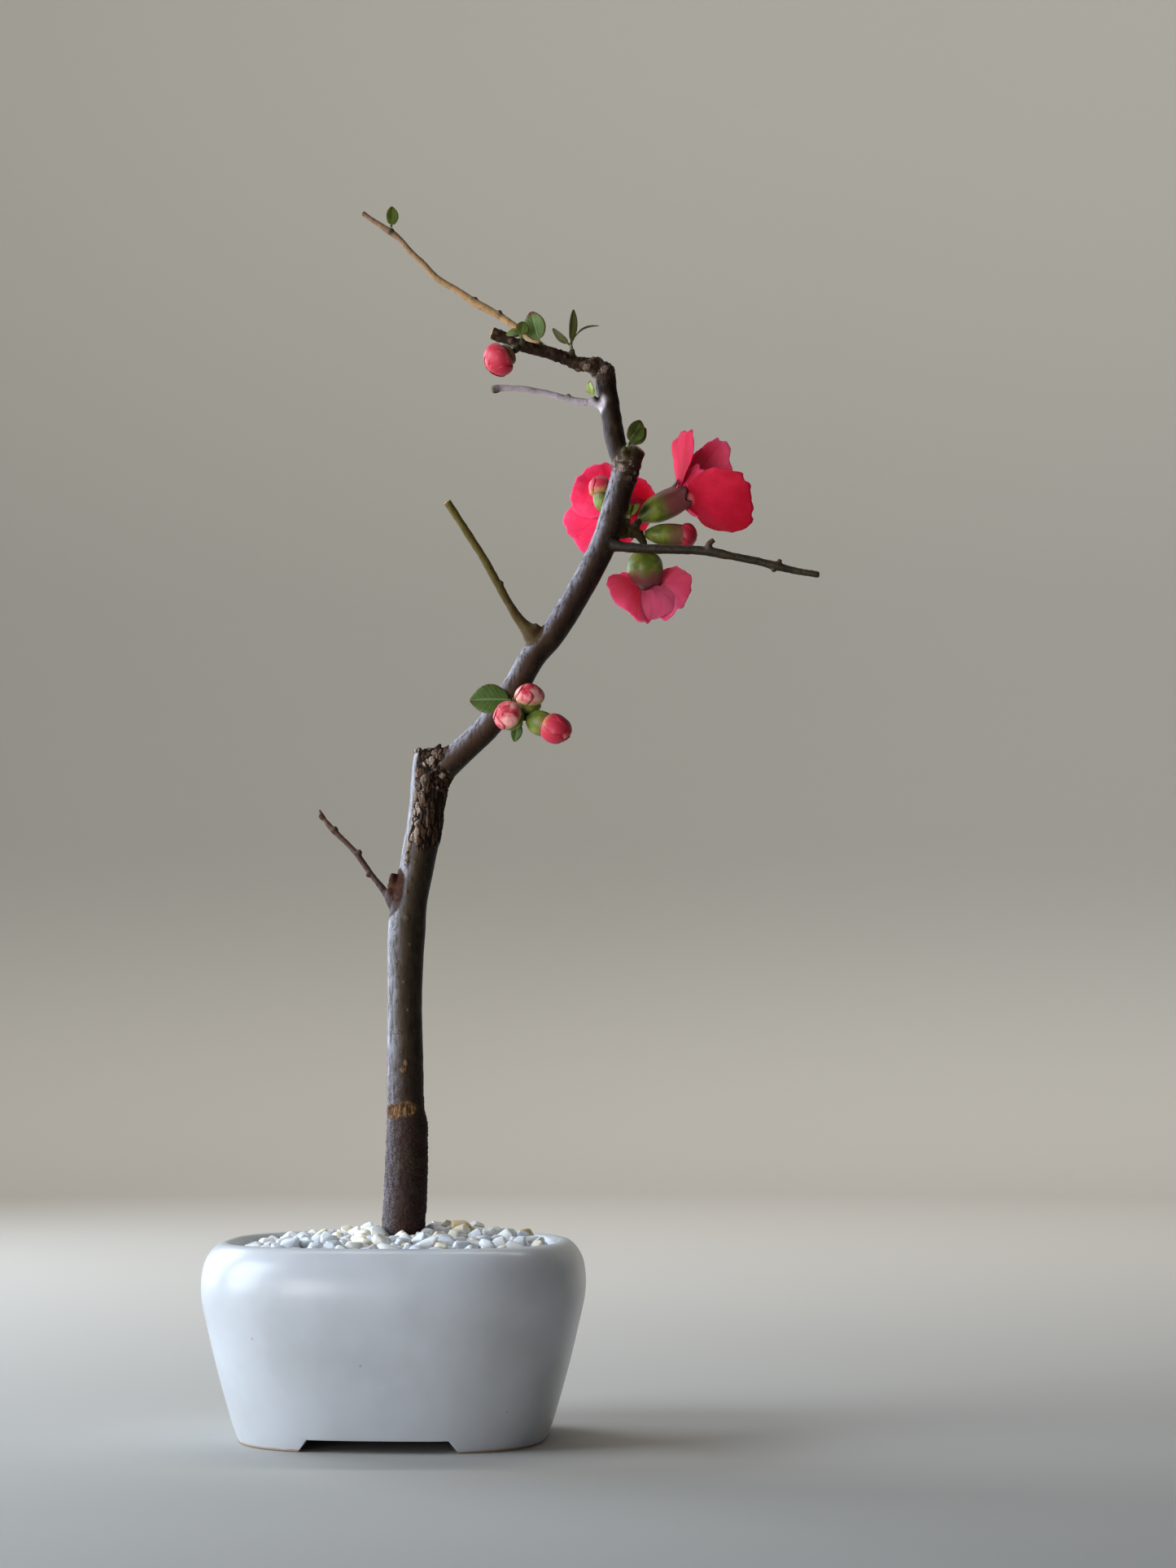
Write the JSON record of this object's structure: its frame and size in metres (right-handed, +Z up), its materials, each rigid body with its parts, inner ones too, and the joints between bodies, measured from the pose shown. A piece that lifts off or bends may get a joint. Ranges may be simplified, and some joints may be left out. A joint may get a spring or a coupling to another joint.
{
  "type": "flowering quince bonsai in a pot",
  "caption": "Slender slanting flowering quince bonsai with red blooms, pink buds and small leaves, in a white oblong footed pot dressed with quartz chips.",
  "frame": {"origin": "on the ground plane under the middle of the whole object's bounding box", "axes": "+X to the viewer's right along the pot's long side, +Y away from the viewer across the pot, +Z up"},
  "size_m": [0.2441, 0.1258, 0.5049],
  "materials": {
    "white_glaze": "satin glaze",
    "screen_plastic": "matt",
    "soil": "granular, dull",
    "quartz": "broken, slightly glossy",
    "bark": "bark, satin above and corky at the foot",
    "petal_red": "soft, velvety",
    "calyx_green": "smooth, fleshy",
    "stamen_yellow": "dull",
    "bud_pink": "smooth, fleshy",
    "leaf_green": "leathery, slightly glossy"
  },
  "bodies": {
    "root": {"pot": "white_glaze", "drain_mesh": "screen_plastic", "soil": "soil", "white_gravel": "quartz", "trunk_and_branches": "bark", "bloom_left_calyx": "calyx_green", "bloom_left_petals": "petal_red", "bloom_left_stamens": "stamen_yellow", "bloom_right_calyx": "calyx_green", "bloom_right_petals": "petal_red", "bloom_right_stamens": "stamen_yellow", "bloom_low_calyx": "calyx_green", "bloom_low_petals": "petal_red", "bloom_low_stamens": "stamen_yellow", "bud_rising_calyx": "calyx_green", "bud_rising_petals": "bud_pink", "bud_half_open_calyx": "calyx_green", "bud_half_open_petals": "bud_pink", "bud_cluster_top_calyx": "calyx_green", "bud_cluster_top_petals": "bud_pink", "bud_cluster_left_calyx": "calyx_green", "bud_cluster_left_petals": "bud_pink", "bud_cluster_long_calyx": "calyx_green", "bud_cluster_long_petals": "bud_pink", "bud_hanging_calyx": "calyx_green", "bud_hanging_petals": "bud_pink", "leaf_tip": "leaf_green", "leaf_big": "leaf_green", "leaf_curled": "leaf_green", "leaf_shoot": "leaf_green", "leaf_bright": "leaf_green", "leaf_stub": "leaf_green", "leaf_cluster_round": "leaf_green", "leaf_cluster_small": "leaf_green", "leaf_spur": "leaf_green"}
  },
  "joints": []
}
